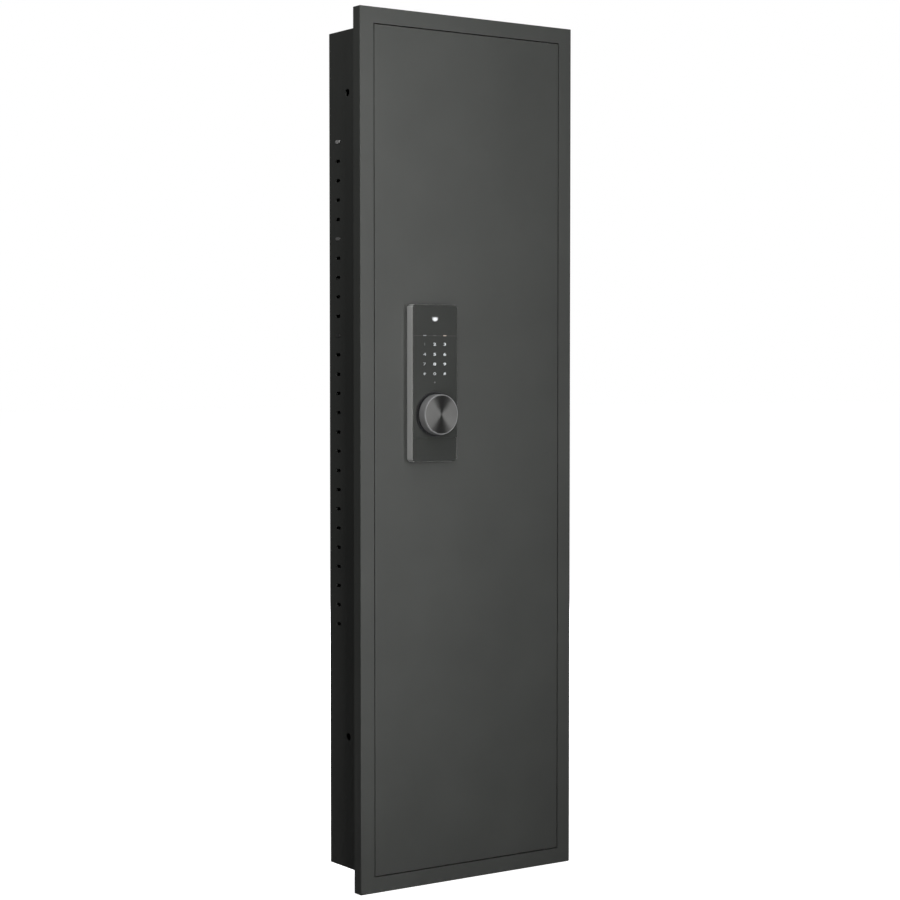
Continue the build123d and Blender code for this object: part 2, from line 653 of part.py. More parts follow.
write(key_cover, "key_cover")

with BuildPart() as lock_screws:
    for x, z in LOCK_SCREWS:
        rod(x, z, (BOSS_FRONT + 1, BASE_BACK), 2)
        rod(x, z, (BASE_BACK, BASE_BACK + 2.4), 3.6)
    heads = lock_screws.faces().filter_by(lambda f: f.center().Y > BASE_BACK + 2.3)
    fillet(heads.edges(), radius=0.8)
    for x, z in LOCK_SCREWS:
        for angle in (0, 90):
            with Locations(Location((x, BASE_BACK + 2.4, z), (0, angle, 0))):
                Box(4, 2.6, 0.9, mode=Mode.SUBTRACT)
write(lock_screws, "lock_screws")

# ------------------------------------------------------------------ the knob and its spindle
FACE_RADIUS = KNOB_RADIUS - 1.3
FACE_THICKNESS = 0.9
HUB_RADIUS = 9.0
BORE_END = KNOB_FRONT + 4.0
STEP_Y = 3.6  # behind this the spindle is thinner, for the pinion
SPINDLE_END = 16.0
NECK_RADIUS = SPINDLE_RADIUS - 1

with BuildPart() as knob_body:
    with BuildSketch(around(LOCK_X, KNOB_Z)):
        with BuildLine():
            Polyline(
                (0, KNOB_FRONT + FACE_THICKNESS),
                (FACE_RADIUS, KNOB_FRONT + FACE_THICKNESS),
                (FACE_RADIUS, KNOB_FRONT),
                (KNOB_RADIUS - 1.0, KNOB_FRONT),
                (KNOB_RADIUS, KNOB_FRONT + 1.0),
                (KNOB_RADIUS, KNOB_BACK - 0.5),
                (KNOB_RADIUS - 0.5, KNOB_BACK),
                (KNOB_RADIUS - 2.5, KNOB_BACK),
                (KNOB_RADIUS - 2.5, KNOB_FRONT + 3.5),
                (HUB_RADIUS, KNOB_FRONT + 3.5),
                (HUB_RADIUS, KNOB_BACK),
                (NECK_RADIUS + SEAT_GAP, KNOB_BACK),
                (NECK_RADIUS + SEAT_GAP, BORE_END),
                (0, BORE_END),
                close=True,
            )
        make_face()
    revolve(axis=Axis((LOCK_X, 0, KNOB_Z), (0, 1, 0)))
    post(LOCK_X, KNOB_BACK - 4.5, (KNOB_Z - HUB_RADIUS - 1, KNOB_Z - 2), 2, mode=Mode.SUBTRACT)
write(knob_body, "knob_body")

with BuildPart() as knob_face:
    rod(LOCK_X, KNOB_Z, (KNOB_FRONT + 0.1, KNOB_FRONT + FACE_THICKNESS), FACE_RADIUS - 0.05)
write(knob_face, "knob_face")

with BuildPart() as knob_spindle:
    rod(LOCK_X, KNOB_Z, (BORE_END + 0.2, SPINDLE_END), NECK_RADIUS)
    rod(LOCK_X, KNOB_Z, (KNOB_BACK, STEP_Y), SPINDLE_RADIUS)
    with BuildSketch(at_y(GEAR_Y[1] + 1.1)):
        with Locations((LOCK_X, KNOB_Z)):
            Circle(SPINDLE_RADIUS)
            Circle(NECK_RADIUS - 0.7, mode=Mode.SUBTRACT)
    extrude(amount=1.0, mode=Mode.SUBTRACT)
    post(LOCK_X, KNOB_BACK - 4.5, (KNOB_Z - HUB_RADIUS - 1, KNOB_Z - 3), 2, mode=Mode.SUBTRACT)
write(knob_spindle, "knob_spindle")

with BuildPart() as knob_set_screw:
    post(LOCK_X, KNOB_BACK - 4.5, (KNOB_Z - HUB_RADIUS + 0.5, KNOB_Z - 3), 2)
write(knob_set_screw, "knob_set_screw")

with BuildPart() as spindle_clip:
    with BuildSketch(at_y(GEAR_Y[1] + 1.1)):
        with Locations((LOCK_X, KNOB_Z)):
            Circle(NECK_RADIUS + 2.2)
            Circle(NECK_RADIUS - 0.7, mode=Mode.SUBTRACT)
        with Locations((LOCK_X, KNOB_Z + NECK_RADIUS + 1)):
            Rectangle(3.2, 6, mode=Mode.SUBTRACT)
    extrude(amount=1.0)
write(spindle_clip, "spindle_clip")

with BuildPart() as spindle_bush:
    rod(LOCK_X, KNOB_Z, (LINER_FRONT, BASE_BACK), SPINDLE_RADIUS + 2)
    rod(LOCK_X, KNOB_Z, (BASE_BACK, BASE_BACK + 1.5), SPINDLE_RADIUS + 5)
    rod(LOCK_X, KNOB_Z, (LINER_FRONT - 1, 6), SPINDLE_RADIUS + RUNNING_GAP, mode=Mode.SUBTRACT)
write(spindle_bush, "spindle_bush")

# ------------------------------------------------------------------ pinion and rack
BASE_RADIUS = PITCH_RADIUS * cos(PRESSURE_ANGLE)
TIP_RADIUS = PITCH_RADIUS + GEAR_MODULE
ROOT_RADIUS = PITCH_RADIUS - 1.25 * GEAR_MODULE
TOOTH_THICKNESS = GEAR_MODULE * pi / 2 - BACKLASH / 2
FLANK_STEPS = 5


def flank(side):
    """Points up one flank of the tooth that points along +X: an involute from the base circle."""
    at_pitch = TOOTH_THICKNESS / 2 / PITCH_RADIUS + tan(PRESSURE_ANGLE) - PRESSURE_ANGLE
    last_roll = ((TIP_RADIUS / BASE_RADIUS) ** 2 - 1) ** 0.5
    points = []
    for step in range(FLANK_STEPS + 1):
        roll = last_roll * step / FLANK_STEPS
        radius = BASE_RADIUS * (1 + roll**2) ** 0.5
        angle = side * (at_pitch - roll + atan(roll))
        points.append((radius * cos(angle), radius * sin(angle)))
    return points


with BuildSketch() as tooth:
    left, right = flank(1), flank(-1)
    with BuildLine():
        Spline(*left)
        ThreePointArc(left[-1], (TIP_RADIUS, 0), right[-1])
        Spline(*right)
        Polyline(right[0], (ROOT_RADIUS - 0.3, right[0][1]), (ROOT_RADIUS - 0.3, left[0][1]), left[0])
    make_face()

with BuildPart() as pinion:
    with BuildSketch(at_y(GEAR_Y[1])):
        with Locations((LOCK_X, KNOB_Z)):
            Circle(ROOT_RADIUS)
            with PolarLocations(0, PINION_TEETH):
                add(tooth.sketch)
        with Locations((LOCK_X, KNOB_Z)):
            Circle(NECK_RADIUS + SEAT_GAP, mode=Mode.SUBTRACT)
    extrude(amount=GEAR_Y[1] - GEAR_Y[0])
    with BuildSketch(at_y(GEAR_Y[0])):
        with Locations((LOCK_X, KNOB_Z)):
            Circle(7)
            Circle(NECK_RADIUS + SEAT_GAP, mode=Mode.SUBTRACT)
    extrude(amount=GEAR_Y[0] - STEP_Y)
write(pinion, "pinion")

RACK_X = (BAR_X + 3, -21.0)
RACK_TEETH = 12
CIRCULAR_PITCH = GEAR_MODULE * pi
NOTCH_HALF = 3.3
NOTCH_DEPTH = 4.0

with BuildPart() as rack:
    root_z = RACK_PITCH_Z - 1.25 * GEAR_MODULE
    tip_z = RACK_PITCH_Z + GEAR_MODULE
    root_half = TOOTH_THICKNESS / 2 + 1.25 * GEAR_MODULE * tan(PRESSURE_ANGLE)
    tip_half = TOOTH_THICKNESS / 2 - GEAR_MODULE * tan(PRESSURE_ANGLE)
    with BuildSketch(at_y(GEAR_Y[1])):
        with Locations((sum(RACK_X) / 2, (RACK_BOTTOM + root_z) / 2)):
            Rectangle(RACK_X[1] - RACK_X[0], root_z - RACK_BOTTOM)
        for number in range(RACK_TEETH):
            # A gap of the rack, not a tooth, lies straight below the pinion's middle.
            tooth_x = LOCK_X + (number - 3.5) * CIRCULAR_PITCH
            with BuildLine():
                Polyline(
                    (tooth_x - root_half, root_z),
                    (tooth_x - tip_half, tip_z),
                    (tooth_x + tip_half, tip_z),
                    (tooth_x + root_half, root_z),
                    close=True,
                )
            make_face()
        for notch_x in (SOLENOID_X, SOLENOID_X + THROW):
            with Locations((notch_x, RACK_BOTTOM)):
                Rectangle(2 * NOTCH_HALF, 2 * NOTCH_DEPTH, mode=Mode.SUBTRACT)
    extrude(amount=GEAR_Y[1] - GEAR_Y[0])
    with Locations(Location((RACK_X[0], BOLT_Y, (RACK_BOTTOM + root_z) / 2), (0, 90, 0))):
        Cylinder(1.5, 20, mode=Mode.SUBTRACT)
write(rack, "rack")

# ------------------------------------------------------------------ boltwork
BAR_SHEET = 3.0
BAR_Z = (-425.0, 425.0)
BAR_Y = (3.0, 17.0)
BAR_WEB_X = -86.0
BAR_WEB_SHEET = 2.0
SCREW_RADIUS = 2.5
RACK_SCREW_Z = (RACK_BOTTOM + RACK_PITCH_Z - 1.25 * GEAR_MODULE) / 2


def cross_rod(x, y, z, radius, mode=Mode.ADD):
    """A cylinder along X."""
    with Locations(Location(((x[0] + x[1]) / 2, y, z), (0, 90, 0))):
        Cylinder(radius, x[1] - x[0], mode=mode)


with BuildPart() as bolt_bar:
    block((BAR_X, BAR_X + BAR_SHEET), BAR_Y, BAR_Z)
    block((BAR_X, BAR_WEB_X), (BAR_Y[1] - BAR_WEB_SHEET, BAR_Y[1]), BAR_Z)
    for z in BOLT_Z:
        cross_rod((BAR_X - 1, BAR_X + 10), BOLT_Y, z, SCREW_RADIUS, mode=Mode.SUBTRACT)
    cross_rod((BAR_X - 1, BAR_X + 10), BOLT_Y, RACK_SCREW_Z, 1.5, mode=Mode.SUBTRACT)
write(bolt_bar, "bolt_bar")

with BuildPart() as bolts:
    for z in BOLT_Z:
        cross_rod((BOLT_TIP, BAR_X), BOLT_Y, z, BOLT_RADIUS)
    tips = bolts.faces().filter_by(Axis.X).sort_by(Axis.X)[: len(BOLT_Z)]
    chamfer(tips.edges(), length=1.0)
    for z in BOLT_Z:
        cross_rod((BAR_X - 12, BAR_X + 1), BOLT_Y, z, SCREW_RADIUS, mode=Mode.SUBTRACT)
write(bolts, "bolts")

with BuildPart() as bolt_screws:
    for z in BOLT_Z:
        cross_rod((BAR_X - 10, BAR_X + BAR_SHEET), BOLT_Y, z, SCREW_RADIUS)
        cross_rod((BAR_X + BAR_SHEET, BAR_X + BAR_SHEET + 3), BOLT_Y, z, 4.5)
        with BuildSketch(Plane.YZ.offset(BAR_X + BAR_SHEET + 1)):
            with Locations((BOLT_Y, z)):
                RegularPolygon(2.2, 6)
        extrude(amount=5, mode=Mode.SUBTRACT)
    cross_rod((BAR_X, BAR_X + 10), BOLT_Y, RACK_SCREW_Z, 1.5)
    cross_rod((BAR_X - 2, BAR_X), BOLT_Y, RACK_SCREW_Z, 2.8)
write(bolt_screws, "bolt_screws")

GUIDE_FOOT = 2.5
GUIDE_HALF = 13.0
with BuildPart() as bolt_guides:
    for z in BOLT_Z:
        block((GUIDE_X[0], -104), (DOOR_BACK, GUIDE_FOOT), (z - GUIDE_HALF, z + GUIDE_HALF))
        with BuildSketch(Plane.YZ.offset(GUIDE_X[0])):
            with Locations((BOLT_Y, z)):
                Circle(BOLT_RADIUS + 2.5)
            with Locations(((DOOR_BACK + BOLT_Y) / 2, z)):
                Rectangle(BOLT_Y - DOOR_BACK, 2 * BOLT_RADIUS + 5)
        extrude(amount=GUIDE_X[1] - GUIDE_X[0])
        cross_rod((GUIDE_X[0] - 1, GUIDE_X[1] + 1), BOLT_Y, z, BOLT_RADIUS + RUNNING_GAP, mode=Mode.SUBTRACT)
    for x, z in GUIDE_SCREWS:
        rod(x, z, (-1, GUIDE_FOOT + 1), 2 + SCREW_GAP, mode=Mode.SUBTRACT)
        with Locations(Location((x, GUIDE_FOOT - 1, z), (-90, 0, 0))):
            Cone(2 + SCREW_GAP, 4.1, 2, mode=Mode.SUBTRACT)
write(bolt_guides, "bolt_guides")

with BuildPart() as guide_screws:
    for x, z in GUIDE_SCREWS:
        rod(x, z, (LINER_FRONT - 1.5, GUIDE_FOOT - 1.9), 2)
        with Locations(Location((x, GUIDE_FOOT - 1.1, z), (-90, 0, 0))):
            Cone(2, 3.8, 1.8)
        for angle in (0, 90):
            with Locations(Location((x, GUIDE_FOOT, z), (0, angle, 0))):
                Box(3.6, 1.6, 0.8, mode=Mode.SUBTRACT)
write(guide_screws, "guide_screws")

# ------------------------------------------------------------------ the solenoid that blocks the rack
SOLENOID_HALF = 10.0
PLUNGER_RADIUS = 3.0
COLLAR_Z = (27.0, 28.2)
BODY_Y = (BASE_BACK, 18.0)
FRAME_SHEET = 1.5

with BuildPart() as solenoid_frame:
    x_span = (SOLENOID_X - SOLENOID_HALF, SOLENOID_X + SOLENOID_HALF)
    block(x_span, (BODY_Y[0], BODY_Y[0] + FRAME_SHEET), SOLENOID_Z)
    block(x_span, BODY_Y, (SOLENOID_Z[1] - FRAME_SHEET, SOLENOID_Z[1]))
    block(x_span, BODY_Y, (SOLENOID_Z[0], SOLENOID_Z[0] + FRAME_SHEET))
    post(SOLENOID_X, BOLT_Y, (SOLENOID_Z[0] + 5, 30), PLUNGER_RADIUS + 0.3, mode=Mode.SUBTRACT)
write(solenoid_frame, "solenoid_frame")

with BuildPart() as solenoid_coil:
    coil_z = (SOLENOID_Z[0] + FRAME_SHEET, SOLENOID_Z[1] - FRAME_SHEET)
    post(SOLENOID_X, BOLT_Y, coil_z, 5.6)
    post(SOLENOID_X, BOLT_Y, (coil_z[0], coil_z[0] + 1), 6.4)
    post(SOLENOID_X, BOLT_Y, (coil_z[1] - 1, coil_z[1]), 6.4)
    post(SOLENOID_X, BOLT_Y, (-1, 30), PLUNGER_RADIUS + RUNNING_GAP, mode=Mode.SUBTRACT)
write(solenoid_coil, "solenoid_coil")

with BuildPart() as plunger:
    post(SOLENOID_X, BOLT_Y, (0, PLUNGER_TOP), PLUNGER_RADIUS)
    chamfer(plunger.faces().sort_by(Axis.Z)[-1].edges(), length=0.6)
    post(SOLENOID_X, BOLT_Y, COLLAR_Z, 4.7)
write(plunger, "plunger")

SPRING_WIRE = 0.35
SPRING_TURNS = 3
with BuildPart() as plunger_spring:
    low = SOLENOID_Z[1] + SPRING_WIRE + 0.05
    high = COLLAR_Z[0] - SPRING_WIRE - 0.05
    with BuildLine():
        coil = Helix(
            pitch=(high - low) / SPRING_TURNS,
            height=high - low,
            radius=3.9,
            center=(SOLENOID_X, BOLT_Y, low),
        )
    with BuildSketch(Plane(origin=coil @ 0, z_dir=coil % 0)):
        Circle(SPRING_WIRE)
    sweep()
write(plunger_spring, "plunger_spring")

# ------------------------------------------------------------------ the inner case and what it holds
with BuildPart() as lock_base_plate:
    block(BASE_X, (DOOR_BACK, BASE_BACK), BASE_Z)
    fillet(lock_base_plate.edges().filter_by(Axis.Y), radius=4)
    lock_openings((-1, BASE_BACK + 1))
    for x, z in CASE_SCREWS:
        rod(x, z, (-1, BASE_BACK + 1), 2 + SCREW_GAP, mode=Mode.SUBTRACT)
write(lock_base_plate, "lock_base_plate")

BATTERY_DOOR = ((-80.0, -20.0), (99.0, 159.0))
with BuildPart() as lock_case:
    block(CASE_X, CASE_Y, CASE_Z)
    rear_edges = lock_case.faces().sort_by(Axis.Y)[-1].edges()
    fillet(rear_edges + lock_case.edges().filter_by(Axis.Y), radius=2.5)
    with BuildSketch(at_y(CASE_Y[0])):
        with Locations((CASE_MIDDLE, sum(CASE_Z) / 2)):
            RectangleRounded(
                CASE_X[1] - CASE_X[0] - 2 * CASE_SHEET,
                CASE_Z[1] - CASE_Z[0] - 2 * CASE_SHEET,
                1.3,
            )
    extrude(amount=CASE_SHEET - (CASE_Y[1] - CASE_Y[0]), mode=Mode.SUBTRACT)
    for low, high in ((CASE_Z[0] - 11, CASE_Z[0] + 0.5), (CASE_Z[1] - 0.5, CASE_Z[1] + 11)):
        block((CASE_X[0] + 4, CASE_X[1] - 4), (CASE_Y[0], CASE_Y[0] + CASE_SHEET), (low, high))
    for x, z in CASE_SCREWS:
        rod(x, z, (0, 5), 2 + SCREW_GAP, mode=Mode.SUBTRACT)
    block(BATTERY_DOOR[0], (CASE_Y[1] - 3, CASE_Y[1] + 1), BATTERY_DOOR[1], mode=Mode.SUBTRACT)
    # The slot where the rack comes out to the bolt bar.
    block(
        (CASE_X[0] - 1, CASE_X[0] + 2),
        (CASE_Y[0] - 1, GEAR_Y[1] + 1.5),
        (RACK_BOTTOM - 2, RACK_PITCH_Z + 3),
        mode=Mode.SUBTRACT,
    )
write(lock_case, "lock_case")

with BuildPart() as lock_case_screws:
    seat = CASE_Y[0] + CASE_SHEET
    for x, z in CASE_SCREWS:
        rod(x, z, (LINER_FRONT - 1, seat), 2)
        rod(x, z, (seat, seat + 2.4), 3.6)
    fillet(lock_case_screws.faces().filter_by(lambda f: f.center().Y > seat + 2.3).edges(), radius=0.8)
    for x, z in CASE_SCREWS:
        for angle in (0, 90):
            with Locations(Location((x, seat + 2.4, z), (0, angle, 0))):
                Box(4, 2.6, 0.9, mode=Mode.SUBTRACT)
write(lock_case_screws, "lock_case_screws")

with BuildPart() as control_board:
    block((CASE_X[0] + 4, CASE_X[1] - 4), (CONTROL_Y, CONTROL_Y + BOARD), (68, 196))
    for x in (CASE_X[0] + 8, CASE_X[1] - 8):
        for z in (72, 192):
            rod(x, z, (CASE_Y[0], CONTROL_Y), 2.5)
    block((CASE_MIDDLE - 8, CASE_MIDDLE + 8), (6.6, 8.4), (84, 96))
    block((-32, -22), (6.6, 14.6), (74, 92))
    rod(-72, 82, (6.6, 14), 6)
    block((-76, -64), (6.6, 11), (172, 190))
    for x in (-48, -38):
        rod(x, 182, (6.6, 16), 3.5)
write(control_board, "control_board")

TRAY_X = (-81.0, -19.0)
TRAY_Y = (16.2, 32.0)
TRAY_Z = (98.0, 160.0)
BATTERY_X = [CASE_MIDDLE + (i - 1.5) * BATTERY_PITCH for i in range(4)]
with BuildPart() as battery_tray:
    block(TRAY_X, TRAY_Y, TRAY_Z)
    block(
        (TRAY_X[0] + 1.6, TRAY_X[1] - 1.6),
        (TRAY_Y[0] + 1.4, TRAY_Y[1] + 1),
        (TRAY_Z[0] + 1.6, TRAY_Z[1] - 1.6),
        mode=Mode.SUBTRACT,
    )
write(battery_tray, "battery_tray")

with BuildPart() as batteries:
    for x in BATTERY_X:
        post(x, BATTERY_Y, (BATTERY_Z[0] + 0.5, BATTERY_Z[1] - 0.5), BATTERY_RADIUS)
    fillet(batteries.edges().filter_by(GeomType.CIRCLE), radius=0.6)
    for i, x in enumerate(BATTERY_X):
        up = i % 2 == 0
        nub = (BATTERY_Z[1] - 1, BATTERY_Z[1] + 0.8) if up else (BATTERY_Z[0] - 0.8, BATTERY_Z[0] + 1)
        post(x, BATTERY_Y, nub, 2.7)
write(batteries, "batteries")

with BuildPart() as battery_contacts:
    for i, x in enumerate(BATTERY_X):
        for end in (1, -1):
            wall = TRAY_Z[1] - 1.6 if end > 0 else TRAY_Z[0] + 1.6
            plate = (wall - 0.5, wall) if end > 0 else (wall, wall + 0.5)
            block((x - 5, x + 5), (20, 30), plate)
            positive = (i % 2 == 0) == (end > 0)
            reach = abs(wall - (BATTERY_Z[1] if end > 0 else BATTERY_Z[0])) - (0.9 if positive else -0.4)
            tip = (wall - reach, wall) if end > 0 else (wall, wall + reach)
            post(x, BATTERY_Y, tip, 3.0)
write(battery_contacts, "battery_contacts")

with BuildPart() as battery_cover:
    block((-82, -18), (CASE_Y[1], CASE_Y[1] + 1.5), (97, 161))
    fillet(battery_cover.edges().filter_by(Axis.Y), radius=3)
    chamfer(battery_cover.faces().sort_by(Axis.Y)[-1].edges(), length=0.5)
    block((-79.6, -20.4), (CASE_Y[1] - 1, CASE_Y[1]), (101, 145))
    for number in range(5):
        z = 142 + 3 * number
        block((-62, -38), (CASE_Y[1] + 1.5, CASE_Y[1] + 2.1), (z, z + 1.2))
write(battery_cover, "battery_cover")
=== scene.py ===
"""The looks of the wall safe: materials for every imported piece, the lit keypad figures, lights and camera.

Everything is in metres, in the part's own frame: +X right as seen from the room, +Y into the wall, +Z up.
"""

import json
import math

import bmesh
import bpy
from mathutils import Matrix, Vector


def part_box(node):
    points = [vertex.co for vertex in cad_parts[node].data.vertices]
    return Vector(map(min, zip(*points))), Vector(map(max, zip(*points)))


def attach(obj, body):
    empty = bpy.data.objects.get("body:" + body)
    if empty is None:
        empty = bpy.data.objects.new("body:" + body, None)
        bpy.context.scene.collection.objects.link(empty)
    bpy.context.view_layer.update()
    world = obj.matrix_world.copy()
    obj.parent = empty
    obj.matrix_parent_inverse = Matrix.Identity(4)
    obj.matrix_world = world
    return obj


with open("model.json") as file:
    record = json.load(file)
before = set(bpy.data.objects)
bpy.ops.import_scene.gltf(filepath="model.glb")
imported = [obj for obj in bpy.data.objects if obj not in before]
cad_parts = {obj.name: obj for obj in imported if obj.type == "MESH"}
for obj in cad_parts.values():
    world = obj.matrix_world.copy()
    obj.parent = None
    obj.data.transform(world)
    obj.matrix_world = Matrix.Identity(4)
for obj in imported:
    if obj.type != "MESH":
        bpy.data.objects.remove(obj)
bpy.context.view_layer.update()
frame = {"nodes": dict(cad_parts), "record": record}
NODES = frame["nodes"]
MM = 0.001

# ------------------------------------------------------------------ places, from the frame
HOUSING_LOW, HOUSING_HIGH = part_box("lock_housing")
KNOB_LOW, KNOB_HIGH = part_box("knob_body")
KNOB_MIDDLE = (KNOB_LOW + KNOB_HIGH) / 2
LOCK_MIDDLE_X = (HOUSING_LOW.x + HOUSING_HIGH.x) / 2
LOCK_TOP = HOUSING_HIGH.z
GLASS_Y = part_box("touch_panel")[0].y
LOWEST_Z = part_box("flange_frame")[0].z


# ------------------------------------------------------------------ material helpers
class Graph:
    """A material and the few node-building steps that the finishes below share."""

    def __init__(self, name, color, roughness, metallic=0.0, **sockets):
        self.material = bpy.data.materials.new(name)
        self.material.use_nodes = True
        self.tree = self.material.node_tree
        self.shader = self.tree.nodes["Principled BSDF"]
        self.set("Base Color", (*color, 1.0))
        self.set("Roughness", roughness)
        self.set("Metallic", metallic)
        for socket, value in sockets.items():
            self.set(socket.replace("_", " "), value)

    def set(self, socket, value):
        self.shader.inputs[socket].default_value = value

    def link(self, out, into):
        self.tree.links.new(out, into)

    def node(self, kind, **values):
        made = self.tree.nodes.new(kind)
        for key, value in values.items():
            setattr(made, key, value)
        return made

    def place(self, scale=(1.0, 1.0, 1.0), middle=(0.0, 0.0, 0.0)):
        """The point on the piece in metres, from middle, times scale."""
        coordinates = self.node("ShaderNodeTexCoord")
        mapping = self.node("ShaderNodeMapping", vector_type="TEXTURE")
        mapping.inputs["Location"].default_value = middle
        mapping.inputs["Scale"].default_value = [1.0 / s for s in scale]
        self.link(coordinates.outputs["Object"], mapping.inputs["Vector"])
        return mapping.outputs["Vector"]

    def noise(self, scale, detail=2.0, stretch=(1.0, 1.0, 1.0), roughness=0.5):
        """Noise with about scale bumps a metre."""
        made = self.node("ShaderNodeTexNoise")
        made.inputs["Scale"].default_value = scale
        made.inputs["Detail"].default_value = detail
        made.inputs["Roughness"].default_value = roughness
        self.link(self.place(stretch), made.inputs["Vector"])
        return made.outputs["Fac"]

    def remap(self, value, low, high, from_low=0.3, from_high=0.7):
        made = self.node("ShaderNodeMapRange")
        self.link(value, made.inputs["Value"])
        for socket, number in (
            ("From Min", from_low),
            ("From Max", from_high),
            ("To Min", low),
            ("To Max", high),
        ):
            made.inputs[socket].default_value = number
        return made.outputs["Result"]

    def blend_colors(self, factor, first, second):
        made = self.node("ShaderNodeMix", data_type="RGBA")
        made.inputs["A"].default_value = (*first, 1.0)
        made.inputs["B"].default_value = (*second, 1.0)
        self.link(factor, made.inputs["Factor"])
        return made.outputs["Result"]

    def math(self, operation, first, second=None):
        """first and second are numbers or the outputs of other nodes."""
        made = self.node("ShaderNodeMath", operation=operation)
        for socket, value in zip(made.inputs, (first, second)):
            if isinstance(value, (int, float)):
                socket.default_value = value
            elif value:
                self.link(value, socket)
        return made.outputs["Value"]

    def axes(self):
        """The point's X, Y and Z in the part's frame."""
        split = self.node("ShaderNodeSeparateXYZ")
        self.link(self.place(), split.inputs["Vector"])
        return split.outputs["X"], split.outputs["Y"], split.outputs["Z"]

    def vary_color(self, value, first, second, from_low=0.3, from_high=0.7):
        factor = self.remap(value, 0.0, 1.0, from_low, from_high)
        self.link(self.blend_colors(factor, first, second), self.shader.inputs["Base Color"])

    def shade_color(self, color, value):
        """The base colour is color times value."""
        made = self.node("ShaderNodeMix", data_type="RGBA", blend_type="MULTIPLY")
        made.inputs["Factor"].default_value = 1.0
        self.link(color, made.inputs["A"])
        self.link(value, made.inputs["B"])
        self.link(made.outputs["Result"], self.shader.inputs["Base Color"])

    def vary_roughness(self, value, low, high):
        self.link(self.remap(value, low, high), self.shader.inputs["Roughness"])

    def frost(self, color):
        """The fine speckle of a frosted lens."""
        speckle = self.noise(2600.0, detail=1.0)
        self.vary_color(speckle, scaled(color, 0.94), scaled(color, 1.04))
        self.vary_roughness(speckle, 0.3, 0.45)

    def bump(self, height, depth, strength=1.0, over=None):
        """Bumps depth metres deep. over is the normal that they are added to."""
        made = self.node("ShaderNodeBump")
        made.inputs["Strength"].default_value = strength
        made.inputs["Distance"].default_value = depth
        self.link(height, made.inputs["Height"])
        if over:
            self.link(over, made.inputs["Normal"])
        self.link(made.outputs["Normal"], self.shader.inputs["Normal"])
        return made.outputs["Normal"]


# ------------------------------------------------------------------ finishes
SMOKE = (0.042, 0.044, 0.0412)
WALL = 1.2 * MM  # of the housing, round the glass
LIGHT_EDGE = 0.45 * MM  # how far behind its front the housing's light finish starts
GREY = (0.056, 0.0582, 0.0548)


def scaled(color, factor):
    return tuple(channel * factor for channel in color)


def powder_coat(name, color, roughness=0.5):
    """Fine textured powder paint: a grain of half a millimetre over a gentle orange peel."""
    g = Graph(name, color, roughness, Specular_IOR_Level=0.45)
    patches = g.noise(9.0, detail=3.0)
    g.vary_color(patches, scaled(color, 0.93), scaled(color, 1.07))
    grain = g.noise(1900.0, detail=2.0)
    g.vary_roughness(grain, roughness - 0.06, roughness + 0.08)
    peel = g.bump(g.noise(420.0, detail=1.0), 0.00005, 0.35)
    g.bump(grain, 0.00004, 0.5, over=peel)
    return g.material


def brushed(name, color, roughness, stretch, depth=0.00001, metallic=1.0, **sockets):
    """Metal brushed along the axis that stretch makes long."""
    g = Graph(name, color, roughness, metallic, **sockets)
    lines = g.noise(60.0, detail=4.0, stretch=stretch, roughness=0.65)
    g.vary_color(lines, scaled(color, 0.88), scaled(color, 1.1))
    g.vary_roughness(lines, roughness - 0.05, roughness + 0.08)
    g.bump(lines, depth, 0.4)
    return g.material


def edged_housing(name, side_color, front_color):
    """Light brushed sides round a front that is finished as dark as the glass in it."""
    g = Graph(name, side_color, 0.48, 0.2)
    x, y, z = g.axes()
    middle = (HOUSING_LOW + HOUSING_HIGH) / 2
    reach = (HOUSING_HIGH - HOUSING_LOW) / 2
    beside = g.math("GREATER_THAN", g.math("ABSOLUTE", g.math("SUBTRACT", x, middle.x)), reach.x - WALL)
    above = g.math("GREATER_THAN", g.math("ABSOLUTE", g.math("SUBTRACT", z, middle.z)), reach.z - WALL)
    behind = g.math("GREATER_THAN", y, HOUSING_LOW.y + LIGHT_EDGE)
    light = g.math("MULTIPLY", g.math("MAXIMUM", beside, above), behind)
    lines = g.noise(60.0, detail=4.0, stretch=(30.0, 30.0, 1.0), roughness=0.65)
    brushing = g.remap(lines, 0.94, 1.06)
    g.shade_color(g.blend_colors(light, front_color, side_color), brushing)
    g.vary_roughness(lines, 0.43, 0.56)
    g.bump(lines, 0.00001, 0.4)
    return g.material


def turned(name, color, roughness, anisotropy, middle):
    """Metal faced on a lathe: rings round an axis along Y, which pull a lamp into a fan of light."""
    g = Graph(name, color, roughness, 1.0, Anisotropic=anisotropy, Anisotropic_Rotation=0.25)
    tangent = g.node("ShaderNodeTangent", direction_type="RADIAL", axis="Y")
    g.link(tangent.outputs["Tangent"], g.shader.inputs["Tangent"])
    rings = g.node("ShaderNodeTexWave", wave_type="RINGS", rings_direction="Y", wave_profile="SIN")
    rings.inputs["Scale"].default_value = 900.0
    rings.inputs["Distortion"].default_value = 0.6
    g.link(g.place(middle=middle), rings.inputs["Vector"])
    g.vary_color(rings.outputs["Fac"], scaled(color, 0.9), scaled(color, 1.08), 0.0, 1.0)
    g.bump(rings.outputs["Fac"], 0.000004, 0.3)
    return g.material


def zinc_plate(name, color):
    """Bright zinc plate: cloudy patches and a few fine scratches."""
    g = Graph(name, color, 0.45, 0.5)
    clouds = g.noise(160.0, detail=5.0, roughness=0.6)
    g.vary_color(clouds, scaled(color, 0.82), scaled(color, 1.08))
    g.vary_roughness(clouds, 0.38, 0.56)
    g.bump(g.noise(1300.0, detail=1.0), 0.00001, 0.3)
    return g.material


